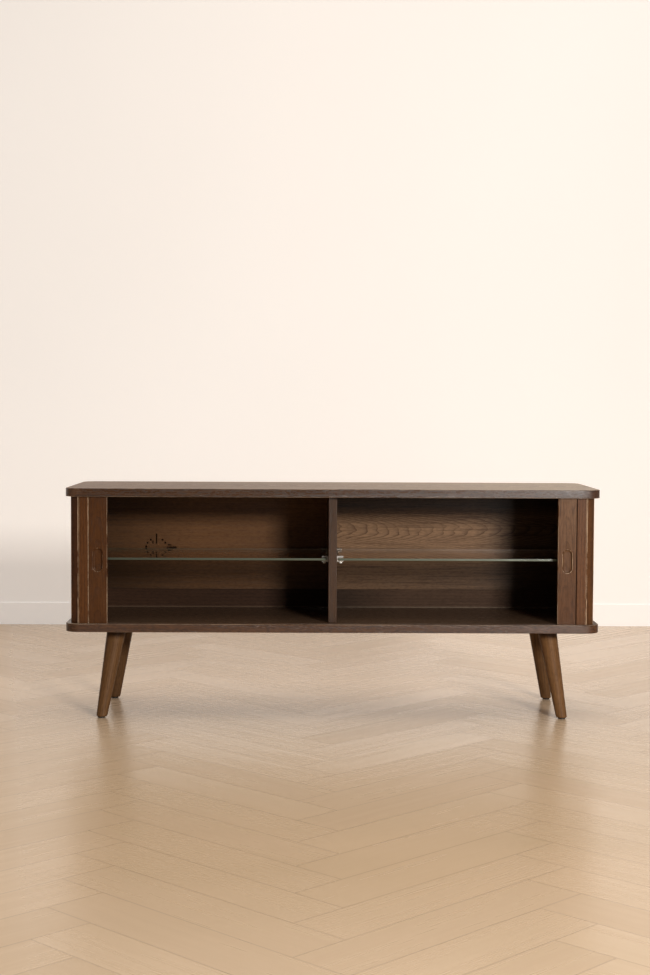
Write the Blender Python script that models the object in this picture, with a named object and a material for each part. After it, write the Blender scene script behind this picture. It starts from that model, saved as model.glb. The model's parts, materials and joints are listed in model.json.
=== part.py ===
"""Low media console: two boards on four splayed legs, a divider, glass shelves and two tambour doors.

Metres, +Z up, the front faces -Y, and the floor is z = 0. Each door's leading stile and first slat are
drawn on their slide; the slats that go round the corner, along the side and along the back are drawn
where they stand with the doors open.
"""
import math

import bmesh
import bpy

for ob in list(bpy.data.objects):
    bpy.data.objects.remove(ob, do_unlink=True)

# ---------------------------------------------------------------- driving dimensions
WIDTH, DEPTH = 1.400, 0.400
BOARD_T = 0.022              # top board, bottom board and divider
LEG_H = 0.234                # floor to the underside of the bottom board
BAY_H = 0.332                # between the two boards
BOARD_R = 0.037              # plan radius of the boards' corners
BOARD_EDGE = 0.0015          # rounding of the boards' edges
FIT = 0.0003                 # gap left between neighbouring pieces

Z_UNDER = LEG_H
Z_FLOOR = LEG_H + BOARD_T
Z_CEIL = Z_FLOOR + BAY_H
HEIGHT = Z_CEIL + BOARD_T
Z_MID = (Z_FLOOR + Z_CEIL) / 2

GROOVE_OUT = 0.0125          # board edge to the groove's outer wall
GROOVE_IN = 0.0225           # board edge to the groove's inner wall
GROOVE_IN_R = 0.028          # plan radius of the inner wall
GROOVE_DEEP = 0.006

TAMBOUR_IN = 0.013           # board edge to the slats' faces
SLAT_T = 0.009
SLAT_RUN = 0.005             # how far the slat ends stand in the grooves
PITCH = 0.0256
TRAVEL = 23 * PITCH
LEAD_X = TRAVEL + 0.0005     # leading edge of an open door
STILE_W = 0.0490
STILE_T = 0.014
SLAT_BEVEL = 0.0016
SLAT_BEVEL_DEEP = 0.0018
PULL_X = 0.6144              # centre of the finger pull of an open door
PULL_W, PULL_H, PULL_DEEP, PULL_DRAFT = 0.024, 0.060, 0.006, 0.0025

DIVIDER_FRONT = -0.168
SIDE_X, SIDE_T = 0.672, 0.016
SIDE_Y = 0.160
BACK_Y, BACK_T, BACK_X = 0.160, 0.006, 0.670
BACK_LOW = 0.0525            # bay floor to the back panels' lower edge
RAIL_T, RAIL_X, RAIL_LAP = 0.0095, 0.660, 0.018
RAIL_BEAD = 0.003            # rounded foot of the rail along the bay floor
VENT_X, VENT_R, VENT_HOLE = 0.4934, 0.030, 0.0062
SLOT = 0.0018                # half the width of a vent slot
# each slot's centre from the vent's centre, and its half sizes
VENT_SLOTS = [(0.0425, s * 0.0042, 0.0140, SLOT) for s in (-1, 1)]
VENT_SLOTS += [(0.0365, s * 0.0104, 0.0055, SLOT) for s in (-1, 1)]
VENT_SLOTS += [(0.0, 0.0280, SLOT, 0.0140), (-0.0100, 0.0180, SLOT, 0.0040)]

GLASS_T = 0.006
GLASS_FRONT, GLASS_BACK = -0.148, 0.150
CLIP_BASE, CLIP_REACH, CLIP_W, CLIP_JAW = 0.004, 0.017, 0.014, 0.0046
CLIP_YS = (-0.128, 0.100)
CLIP_SCREW_R, CLIP_HEAD_R, CLIP_SCREW_AT = 0.0025, 0.0042, 0.0105

LEG_TOP = (0.5735, 0.110)    # plan place of a leg's axis under its plate
LEG_FOOT = (0.610, 0.146)    # and at the floor
LEG_R_TOP, LEG_R_FOOT = 0.0252, 0.0145
PAD_R, PAD_H = 0.010, 0.003
PLATE_R, PLATE_T, BOSS_R, BOSS_H = 0.036, 0.0025, 0.009, 0.008
BOLT_R, BOLT_DEPTH = 0.004, 0.034
ROUND = 32


# ---------------------------------------------------------------- helpers
def material(name, colour, rough, metal=0.0, clear=0.0):
    m = bpy.data.materials.new(name)
    m.use_nodes = True
    b = m.node_tree.nodes["Principled BSDF"]
    b.inputs["Base Color"].default_value = (*colour, 1.0)
    b.inputs["Roughness"].default_value = rough
    b.inputs["Metallic"].default_value = metal
    b.inputs["Transmission Weight"].default_value = clear
    return m


WALNUT = ((0.075, 0.036, 0.022), 0.42)
PLY = ((0.085, 0.048, 0.028), 0.55)
CLEAR = ((0.80, 0.93, 0.88), 0.02, 0.0, 1.0)
CHROME = ((0.72, 0.73, 0.74), 0.15, 1.0)
STEEL = ((0.05, 0.05, 0.052), 0.45, 1.0)
ZINC = ((0.55, 0.55, 0.53), 0.35, 1.0)
NYLON = ((0.03, 0.03, 0.03), 0.6)


def add(name, bm, look, smooth=False, angle=35.0):
    """Turns a closed bmesh into one named node with its own material."""
    bmesh.ops.recalc_face_normals(bm, faces=bm.faces)
    if bm.calc_volume(signed=True) < 0:
        bmesh.ops.reverse_faces(bm, faces=bm.faces)
    if smooth:
        limit = math.radians(angle)
        for f in bm.faces:
            f.smooth = True
        for e in bm.edges:
            e.smooth = len(e.link_faces) == 2 and e.calc_face_angle() < limit
    me = bpy.data.meshes.new(name)
    bm.to_mesh(me)
    bm.free()
    ob = bpy.data.objects.new(name, me)
    bpy.context.scene.collection.objects.link(ob)
    me.materials.append(material(name + "_mat", *look))
    return ob


def loft(rings, close=True):
    """Joins rings of equal length into one closed skin; the first and last rings are capped."""
    bm = bmesh.new()
    loops = [[bm.verts.new(p) for p in ring] for ring in rings]
    for a, b in zip(loops, loops[1:]):
        for i in range(len(a)):
            j = (i + 1) % len(a)
            bm.faces.new((a[i], a[j], b[j], b[i]))
    if close:
        bm.faces.new(loops[0])
        bm.faces.new(loops[-1])
    return bm


def block(x0, x1, y0, y1, z0, z1, edge=0.0):
    """A box, with its twelve edges cut at 45 degrees by edge."""
    bm = bmesh.new()
    bmesh.ops.create_cube(bm, size=1.0)
    for v in bm.verts:
        v.co = (x0 if v.co.x < 0 else x1, y0 if v.co.y < 0 else y1, z0 if v.co.z < 0 else z1)
    if edge:
        bmesh.ops.bevel(bm, geom=bm.edges[:], offset=edge, segments=1, affect="EDGES", profile=0.5)
    return bm


def rounded(inset, radius, z, n=10):
    """One loop round the boards' outline, set in by inset, with corners of the given radius."""
    x, y, ring = WIDTH / 2 - inset - radius, DEPTH / 2 - inset - radius, []
    for sx, sy, start in ((1, -1, -90), (1, 1, 0), (-1, 1, 90), (-1, -1, 180)):
        for k in range(n + 1):
            a = math.radians(start + 90 * k / n)
            ring.append((sx * x + radius * math.cos(a), sy * y + radius * math.sin(a), z))
    return ring


def circle(cx, cy, z, r, n=ROUND):
    return [
        (cx + r * math.cos(2 * math.pi * k / n), cy + r * math.sin(2 * math.pi * k / n), z) for k in range(n)
    ]


def cut(ob, bm, name):
    """Takes a hidden helper's shape out of ob."""
    helper = add(name, bm, NYLON)
    helper.hide_render = True
    helper.display_type = "WIRE"
    mod = ob.modifiers.new("cut", "BOOLEAN")
    mod.operation, mod.solver, mod.object = "DIFFERENCE", "EXACT", helper


def mirror_x(points, side):
    return [(side * x, y, z) for x, y, z in points]


SIDES = (("left", -1), ("right", 1))


# ---------------------------------------------------------------- boards, with the doors' grooves
def board(name, z_out, z_in):
    """A board whose inner face, at z_in, holds the groove that both doors run in."""
    up = 1 if z_in > z_out else -1
    floor = z_in - up * GROOVE_DEEP
    rings = [
        rounded(BOARD_EDGE, BOARD_R - BOARD_EDGE, z_out),
        rounded(BOARD_EDGE * 0.3, BOARD_R - BOARD_EDGE * 0.3, z_out + up * BOARD_EDGE * 0.3),
        rounded(0.0, BOARD_R, z_out + up * BOARD_EDGE),
        rounded(0.0, BOARD_R, z_in - up * BOARD_EDGE),
        rounded(BOARD_EDGE * 0.3, BOARD_R - BOARD_EDGE * 0.3, z_in - up * BOARD_EDGE * 0.3),
        rounded(BOARD_EDGE, BOARD_R - BOARD_EDGE, z_in),
        rounded(GROOVE_OUT, BOARD_R - GROOVE_OUT, z_in),
        rounded(GROOVE_OUT, BOARD_R - GROOVE_OUT, floor),
        rounded(GROOVE_IN, GROOVE_IN_R, floor),
        rounded(GROOVE_IN, GROOVE_IN_R, z_in),
    ]
    return add(name, loft(rings), WALNUT)


board("top_board", HEIGHT, Z_CEIL)
bottom = board("bottom_board", Z_UNDER, Z_FLOOR)

# ---------------------------------------------------------------- divider, sides and backs
Z0, Z1 = Z_FLOOR + FIT, Z_CEIL - FIT
HALF_T = BOARD_T / 2
add("centre_divider", block(-HALF_T, HALF_T, DIVIDER_FRONT, BACK_Y - FIT, Z0, Z1, 0.001), WALNUT)
for word, s in SIDES:
    xs = sorted((s * SIDE_X, s * (SIDE_X - SIDE_T)))
    add(f"{word}_side_panel", block(*xs, -SIDE_Y, SIDE_Y - FIT, Z0, Z1, 0.0008), WALNUT)
    # the panels and rails of the two bays meet behind the divider
    xs = sorted((s * FIT / 2, s * BACK_X))
    panel = add(f"{word}_back_panel", block(*xs, BACK_Y, BACK_Y + BACK_T, Z_FLOOR + BACK_LOW, Z1), PLY)
    if word == "left":
        left_back = panel
    # the low rail behind the panel's lower edge, with a quarter round where it meets the floor
    near, top = BACK_Y + BACK_T + FIT, Z_FLOOR + BACK_LOW + RAIL_LAP
    arc = [math.radians(22.5 * k) for k in range(5)]
    bead = [(near - RAIL_BEAD * math.cos(a), Z0 + RAIL_BEAD * math.sin(a)) for a in arc]
    section = [*bead, (near, top), (near + RAIL_T, top), (near + RAIL_T, Z0)]
    rail = loft([[(s * x, y, z) for y, z in section] for x in (FIT / 2, RAIL_X)])
    add(f"{word}_back_rail", rail, WALNUT)


def across(cx, cz, points):
    """A prism along Y through the back panel, from points round (cx, cz)."""
    near, far = BACK_Y - 0.002, BACK_Y + BACK_T + 0.002
    return [[(cx + px, y, cz + pz) for px, pz in points] for y in (near, far)]


vent = bmesh.new()


def pierce(cx, cz, points):
    """Adds one prism to the vent's cutter, placed from the vent's centre."""
    part = loft(across(-VENT_X + cx, Z_MID + cz, points))
    me = bpy.data.meshes.new("pierce")
    part.to_mesh(me)
    part.free()
    vent.from_mesh(me)
    bpy.data.meshes.remove(me)


# a ring of holes that leaves room for the slots above it and to its right
for k in (1, 2, 5, 6, 7, 8, 9, 10, 11, 12, 13, 14):
    a = math.radians(22.5 * k + 11.25)
    pierce(VENT_R * math.cos(a), VENT_R * math.sin(a), [
        (VENT_HOLE / 2 * math.cos(math.radians(36 * i)), VENT_HOLE / 2 * math.sin(math.radians(36 * i)))
        for i in range(10)
    ])
for cx, cz, half_x, half_z in VENT_SLOTS:
    pierce(cx, cz, [(-half_x, -half_z), (half_x, -half_z), (half_x, half_z), (-half_x, half_z)])
cut(left_back, vent, "helper_vent")

# ---------------------------------------------------------------- glass shelves, clips and clamp screws
GLASS_X0 = HALF_T + FIT + CLIP_BASE + 0.0005
GLASS_X1 = SIDE_X - SIDE_T - FIT - CLIP_BASE - 0.0005
JAW_GAP = GLASS_T / 2 + 0.0004
for word, s in SIDES:
    xs = sorted((s * GLASS_X0, s * GLASS_X1))
    shelf = block(*xs, GLASS_FRONT, GLASS_BACK, Z_MID - GLASS_T / 2, Z_MID + GLASS_T / 2, 0.0005)
    add(f"{word}_glass_shelf", shelf, CLEAR)
    for wall, x, way in (("inner", HALF_T + FIT, 1), ("outer", SIDE_X - SIDE_T - FIT, -1)):
        for where, y in zip(("front", "rear"), CLIP_YS):
            # a C seen from the front: back plate on the wall, one jaw above the glass and one below
            c = [
                (0, -1), (1, -1), (1, -0.62), (0.24, -0.62), (0.24, 0.62), (1, 0.62), (1, 1), (0, 1),
            ]
            half = JAW_GAP + CLIP_JAW
            prof = []
            for u, v in c:
                dz = half * v if abs(v) == 1 else JAW_GAP * (1 if v > 0 else -1)
                dx = CLIP_REACH if u == 1 else (CLIP_BASE if u else 0.0)
                prof.append((s * (x + way * dx), dz))
            rings = [[(px, y + w, Z_MID + dz) for px, dz in prof] for w in (-CLIP_W / 2, CLIP_W / 2)]
            name = f"{word}_{wall}_{where}_clip"
            clip = add(name, loft(rings), CHROME)
            sx, low = s * (x + way * CLIP_SCREW_AT), Z_MID - half
            cut(clip, loft([circle(sx, y, low + dz, CLIP_SCREW_R + FIT, 16) for dz in
                            (-0.001, CLIP_JAW + 0.001)]), "helper_" + name)
            r = CLIP_SCREW_R
            screw = loft([
                circle(sx, y, low - 0.0038, CLIP_HEAD_R - 0.0005, 16),
                circle(sx, y, low - 0.0033, CLIP_HEAD_R, 16),
                circle(sx, y, low - 0.0008, CLIP_HEAD_R, 16),
                circle(sx, y, low - FIT, CLIP_HEAD_R - 0.0005, 16),
                circle(sx, y, low - FIT, r, 16),
                circle(sx, y, Z_MID - GLASS_T / 2 - 0.0002, r, 16),
            ])
            add(f"{name}_screw", screw, CHROME, smooth=True)

# ---------------------------------------------------------------- legs, plates, bolts and pads
Z_PLATE = Z_UNDER - PLATE_T
Z_LEG = Z_PLATE - FIT
for word, s in SIDES:
    for where, t in (("front", -1), ("rear", 1)):

        def axis(z, s=s, t=t):
            """The plan place of the leg's axis at height z."""
            u = z / Z_LEG
            return (
                s * (LEG_FOOT[0] + (LEG_TOP[0] - LEG_FOOT[0]) * u),
                t * (LEG_FOOT[1] + (LEG_TOP[1] - LEG_FOOT[1]) * u),
            )

        def ring(z, r, n=ROUND, axis=axis):
            return circle(*axis(z), z, r, n)

        z0, bore = PAD_H + FIT, Z_LEG - BOLT_DEPTH
        side = [(0.0, -0.0040), (0.0006, -0.0022), (0.0018, -0.0009), (0.0040, 0.0)]
        rings = [ring(z0 + dz, LEG_R_FOOT + dr) for dz, dr in side]
        rings += [ring(Z_LEG - 0.001, LEG_R_TOP), ring(Z_LEG, LEG_R_TOP - 0.001)]
        rings += [ring(Z_LEG, BOLT_R + FIT), ring(bore, BOLT_R + FIT)]
        name = f"{where}_{word}_leg"
        add(name, loft(rings), WALNUT, smooth=True)

        z_pin = Z_LEG - BOLT_DEPTH + 0.001
        z_tip = Z_UNDER + BOSS_H - 0.001
        rings = [ring(z_pin, BOLT_R - 0.001, 20), ring(z_pin + 0.001, BOLT_R, 20)]
        rings += [ring(z_tip - 0.0008, BOLT_R, 20), ring(z_tip, BOLT_R - 0.0008, 20)]
        add(f"{name}_bolt", loft(rings), ZINC, smooth=True)

        px, py = axis(Z_LEG)
        plate = [
            ring(Z_PLATE, BOLT_R + FIT),
            circle(px, py, Z_PLATE, PLATE_R - 0.0005),
            circle(px, py, Z_PLATE + 0.0005, PLATE_R),
            circle(px, py, Z_UNDER - FIT, PLATE_R),
            circle(px, py, Z_UNDER - FIT, BOSS_R),
            circle(px, py, Z_UNDER + BOSS_H, BOSS_R),
            ring(Z_UNDER + BOSS_H, BOLT_R + FIT),
        ]
        bm = loft(plate, close=False)
        loops = [e for e in bm.edges if e.is_boundary]
        bmesh.ops.bridge_loops(bm, edges=loops)
        add(f"{name}_plate", bm, STEEL, smooth=True)

        pocket = [circle(px, py, z, BOSS_R + 0.0006, 24) for z in (Z_UNDER - 0.002, Z_UNDER + BOSS_H + 0.0012)]
        cut(bottom, loft(pocket), f"helper_{name}_pocket")

        fx, fy = axis(0.0)
        pad = [circle(fx, fy, 0.0, PAD_R - 0.0006, 24), circle(fx, fy, 0.0006, PAD_R, 24),
               circle(fx, fy, PAD_H, PAD_R, 24)]
        add(f"{name}_pad", loft(pad), NYLON, smooth=True)

# ---------------------------------------------------------------- tambour doors
FACE_Y = -DEPTH / 2 + TAMBOUR_IN
BACK_FACE_Y = -FACE_Y
FACE_X = WIDTH / 2 - TAMBOUR_IN
T0, T1 = Z_FLOOR - SLAT_RUN, Z_CEIL + SLAT_RUN
B, BD = SLAT_BEVEL, SLAT_BEVEL_DEEP


def sweep(pairs, side):
    """A skin with a flat top and bottom over plan pairs (outer point, inner point)."""
    rings = []
    for (ox, oy), (ix, iy) in pairs:
        rings.append([(ox, oy, T0), (ox, oy, T1), (ix, iy, T1), (ix, iy, T0)])
    return loft([mirror_x(r, side) for r in rings])


def flat_slat(at, start, end):
    """Plan pairs of one slat from start to end along a line; at(u, depth) gives a plan point."""
    b = math.copysign(B, end - start)
    return [
        (at(start, BD), at(start, SLAT_T)),
        (at(start + b, 0.0), at(start + b, SLAT_T)),
        (at(end - b, 0.0), at(end - b, SLAT_T)),
        (at(end, BD), at(end, SLAT_T)),
    ]


def slats(at, start, end, count):
    """Plan pairs of count equal slats on one backing, each valley shared by its two neighbours."""
    step, pairs = (end - start) / count, []
    for k in range(count):
        one = flat_slat(at, start + k * step, start + (k + 1) * step)
        pairs += one if k == 0 else one[1:]
    return pairs


def front_line(u, d):
    return (u, FACE_Y + d)


def side_line(u, d):
    return (FACE_X - d, u)


def back_line(u, d):
    return (u, BACK_FACE_Y - d)


X_SLAT = LEAD_X + STILE_W                  # the valley between the stile and the first slat
X_CORNER = X_SLAT + PITCH + 0.0006         # where the corner slat starts
Y_SIDE = FACE_Y + (FACE_X - X_CORNER)      # where the side's slats start
X_TAIL = X_CORNER - FIT                    # where the run along the back starts
SIDE_COUNT = 13
TAIL_COUNT = 23


def corner(front):
    """The one slat that stands at 45 degrees across a corner, between a straight line and the side."""
    t = 1 if front else -1
    a = (X_CORNER + 0.0012, t * (FACE_Y + 0.0003))
    b = (FACE_X - 0.0003, t * (Y_SIDE - 0.0012))
    behind = FACE_X - 0.0003 - (Y_SIDE - 0.0012) - (SLAT_T - 0.0004) * math.sqrt(2)
    inner_x = FACE_X - SLAT_T              # the backing's line is x - |y| = behind, cut off at both ends
    pairs = [
        ((X_CORNER, t * (FACE_Y + BD)), (X_CORNER, t * (FACE_Y + SLAT_T - 0.0004))),
        (a, (X_CORNER, t * (X_CORNER - behind))),
        (b, (inner_x, t * (inner_x - behind))),
        ((FACE_X - BD, t * Y_SIDE), (inner_x, t * (inner_x - behind + 0.0008))),
    ]
    return pairs if front else pairs[::-1]


for word, s in SIDES:
    # the leading stile: its back stands inside the bay, its ends narrow to run in the grooves
    x0, x1 = LEAD_X, X_SLAT - FIT / 2
    face, inner, tongue = FACE_Y, FACE_Y + STILE_T, FACE_Y + SLAT_T

    def plan(z, back, inset):
        i = inset
        pts = [
            (x0 + B, face + i), (x1 - B, face + i), (x1 - i, face + BD), (x1 - i, back - 0.001 - i),
            (x1 - 0.001 - i, back - i), (x0 + 0.001 + i, back - i), (x0 + i, back - 0.001 - i),
            (x0 + i, face + BD),
        ]
        return mirror_x([(x, y, z) for x, y in pts], s)

    stile = add(
        f"{word}_door_stile",
        loft([
            plan(T0, tongue, 0.0003), plan(Z0 + 0.0002, tongue, 0.0003), plan(Z0 + 0.0002, inner, 0.0),
            plan(Z1 - 0.0002, inner, 0.0), plan(Z1 - 0.0002, tongue, 0.0003), plan(T1, tongue, 0.0003),
        ]),
        WALNUT,
    )

    def obround(y, grow):
        """The finger pull's outline at depth y."""
        r, half = PULL_W / 2 + grow, (PULL_H - PULL_W) / 2
        pts = []
        for c, start in ((half, 0), (-half, 180)):
            for k in range(13):
                a = math.radians(start + 15 * k)
                pts.append((PULL_X + r * math.cos(a), y, Z_MID + c + r * math.sin(a)))
        return mirror_x(pts, s)

    dish = loft([
        obround(FACE_Y - 0.002, 0.0004), obround(FACE_Y, 0.0), obround(FACE_Y + 0.004, -0.0008),
        obround(FACE_Y + PULL_DEEP, -PULL_DRAFT),
    ])
    cut(stile, dish, f"helper_{word}_pull")

    first_slat = flat_slat(front_line, X_SLAT + FIT / 2, X_SLAT + PITCH - 0.0003)
    add(f"{word}_door_slat", sweep(first_slat, s), WALNUT)

    run = corner(True) + slats(side_line, Y_SIDE, -Y_SIDE, SIDE_COUNT)[1:-1] + corner(False)
    add(f"{word}_tambour_side", sweep(run, s), WALNUT)
    tail = slats(back_line, X_TAIL, X_TAIL - TAIL_COUNT * PITCH, TAIL_COUNT)
    add(f"{word}_tambour_tail", sweep(tail, s), WALNUT)
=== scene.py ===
"""A low media console: two boards on four splayed legs, glass shelves, two doors of upright slats.

Metres, +Z up, the front faces -Y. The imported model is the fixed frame; the pieces here stand for
its nodes with finer edges and real wood, glass and metal.
"""

import json
import math

import bmesh
import bpy
import numpy as np
from mathutils import Matrix, Vector
from mathutils.geometry import tessellate_polygon

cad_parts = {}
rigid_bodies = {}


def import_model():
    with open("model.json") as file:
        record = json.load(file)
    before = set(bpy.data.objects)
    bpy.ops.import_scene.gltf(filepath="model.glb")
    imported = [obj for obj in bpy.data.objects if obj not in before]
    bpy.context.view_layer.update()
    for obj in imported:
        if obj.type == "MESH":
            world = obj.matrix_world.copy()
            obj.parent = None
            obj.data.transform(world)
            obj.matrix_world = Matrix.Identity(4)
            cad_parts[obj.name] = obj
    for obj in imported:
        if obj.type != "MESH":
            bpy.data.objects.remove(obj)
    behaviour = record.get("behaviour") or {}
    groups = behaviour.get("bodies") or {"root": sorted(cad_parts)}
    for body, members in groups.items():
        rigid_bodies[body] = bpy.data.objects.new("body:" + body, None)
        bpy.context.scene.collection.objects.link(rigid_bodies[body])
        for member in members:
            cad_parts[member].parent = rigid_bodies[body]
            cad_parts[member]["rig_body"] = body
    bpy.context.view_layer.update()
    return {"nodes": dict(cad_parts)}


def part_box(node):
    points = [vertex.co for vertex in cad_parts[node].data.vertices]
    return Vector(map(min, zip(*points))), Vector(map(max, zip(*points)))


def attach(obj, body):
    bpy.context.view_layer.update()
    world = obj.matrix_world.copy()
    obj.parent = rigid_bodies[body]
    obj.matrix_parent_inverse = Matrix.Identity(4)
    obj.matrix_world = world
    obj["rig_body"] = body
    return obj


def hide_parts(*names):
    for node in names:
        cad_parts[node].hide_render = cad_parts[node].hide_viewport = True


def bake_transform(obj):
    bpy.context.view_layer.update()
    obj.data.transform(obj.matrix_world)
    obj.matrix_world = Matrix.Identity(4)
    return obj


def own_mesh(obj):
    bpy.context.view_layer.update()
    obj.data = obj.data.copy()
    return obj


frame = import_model()
NODES = frame["nodes"]
SIDES = (("left", -1), ("right", 1))


# ------------------------------------------------------------------ shader maths
class Value:
    """A socket of a material, so that shader maths is written with + - * / and **."""

    def __init__(self, look, socket):
        self.look, self.socket = look, socket

    def _maths(self, kind, a, b):
        return self.look.maths(kind, a, b)

    def __add__(self, other):
        return self._maths("ADD", self, other)

    def __sub__(self, other):
        return self._maths("SUBTRACT", self, other)

    def __rsub__(self, other):
        return self._maths("SUBTRACT", other, self)

    def __mul__(self, other):
        return self._maths("MULTIPLY", self, other)

    def __truediv__(self, other):
        return self._maths("DIVIDE", self, other)

    def __rtruediv__(self, other):
        return self._maths("DIVIDE", other, self)

    def __pow__(self, other):
        return self._maths("POWER", self, other)

    __radd__, __rmul__ = __add__, __mul__


class Look:
    """A material under construction."""

    def __init__(self, name):
        self.material = bpy.data.materials.new(name)
        self.material.use_nodes = True
        self.nodes, self.links = self.material.node_tree.nodes, self.material.node_tree.links
        self.nodes.clear()

    def node(self, kind, settings=None, values=None, out=0):
        """Adds a node: its settings first, then what each socket holds or is fed by; gives output out."""
        n = self.nodes.new("ShaderNode" + kind)
        for key, value in (settings or {}).items():
            setattr(n, key, value)
        for key, value in (values or {}).items():
            if isinstance(value, Value):
                self.links.new(value.socket, n.inputs[key])
            elif value is not None:
                n.inputs[key].default_value = value
        return Value(self, n.outputs[out])

    def maths(self, kind, a, b=0.0, clamp=False):
        return self.node("Math", {"operation": kind, "use_clamp": clamp}, {0: a, 1: b})

    def clamp(self, a):
        return self.maths("ADD", a, 0.0, True)

    def step(self, a, low, high):
        """0 below low, 1 above high, smooth between."""
        return self.node(
            "MapRange", {"interpolation_type": "SMOOTHSTEP"}, {"Value": a, "From Min": low, "From Max": high}
        )

    def ramp(self, a, low, high, to_low=0.0, to_high=1.0):
        """A straight run from to_low at low to to_high at high, held beyond both."""
        return self.node(
            "MapRange", {}, {"Value": a, "From Min": low, "From Max": high, "To Min": to_low, "To Max": to_high}
        )

    def mix(self, share, a, b, kind="MIX"):
        """Two colours mixed; a plain triple is a colour too."""
        a, b = ((*c, 1.0) if isinstance(c, tuple) else c for c in (a, b))
        return self.node("Mix", {"data_type": "RGBA", "blend_type": kind}, {0: share, 6: a, 7: b}, 2)

    def scaled(self, place, by):
        return self.node("VectorMath", {"operation": "MULTIPLY"}, {0: place, 1: by})

    def noise(self, place, by, detail=2.0, rough=0.5, warp=0.0):
        """Noise from 0 to 1 at a place stretched by three factors."""
        return self.node(
            "TexNoise", {}, {"Vector": self.scaled(place, by), "Scale": 1.0, "Detail": detail, "Roughness": rough,
                             "Distortion": warp}
        )

    def place(self, order=None):
        """Along, across and through the grain: the piece's own attribute, or the object's axes in order."""
        if order is None:
            return self.node("Attribute", {"attribute_name": "grain"}, {}, 1)
        split = self.nodes.new("ShaderNodeSeparateXYZ")
        here = self.node("TexCoord", {}, {}, 3)
        self.links.new(here.socket, split.inputs[0])
        return self.node(
            "CombineXYZ", {}, {k: Value(self, split.outputs["xyz".index(axis)]) for k, axis in enumerate(order)}
        )

    def parts(self, place):
        split = self.nodes.new("ShaderNodeSeparateXYZ")
        self.links.new(place.socket, split.inputs[0])
        return [Value(self, s) for s in split.outputs]

    def bump(self, height, depth, strength=1.0):
        return self.node("Bump", {}, {"Strength": strength, "Distance": depth, "Height": height})

    def surface(self, **sockets):
        """A Principled surface; a name's underscores stand for spaces."""
        values = {}
        for key, value in sockets.items():
            values[key.replace("_", " ")] = (*value, 1.0) if isinstance(value, tuple) and len(value) == 3 else value
        return self.node("BsdfPrincipled", {}, values)

    def done(self, shader):
        out = self.nodes.new("ShaderNodeOutputMaterial")
        self.links.new(shader.socket, out.inputs["Surface"])
        return self.material


# ------------------------------------------------------------------ materials
# bare oak, which also serves as the painted highlight on lit arrises
BARE_AND_LIT_OAK = (0.600, 0.440, 0.300)


def times(colour, by):
    """A colour multiplied by a number, or by one number for each channel."""
    by = by if isinstance(by, tuple) else (by,) * 3
    return tuple(c * k for c, k in zip(colour, by))


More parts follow.
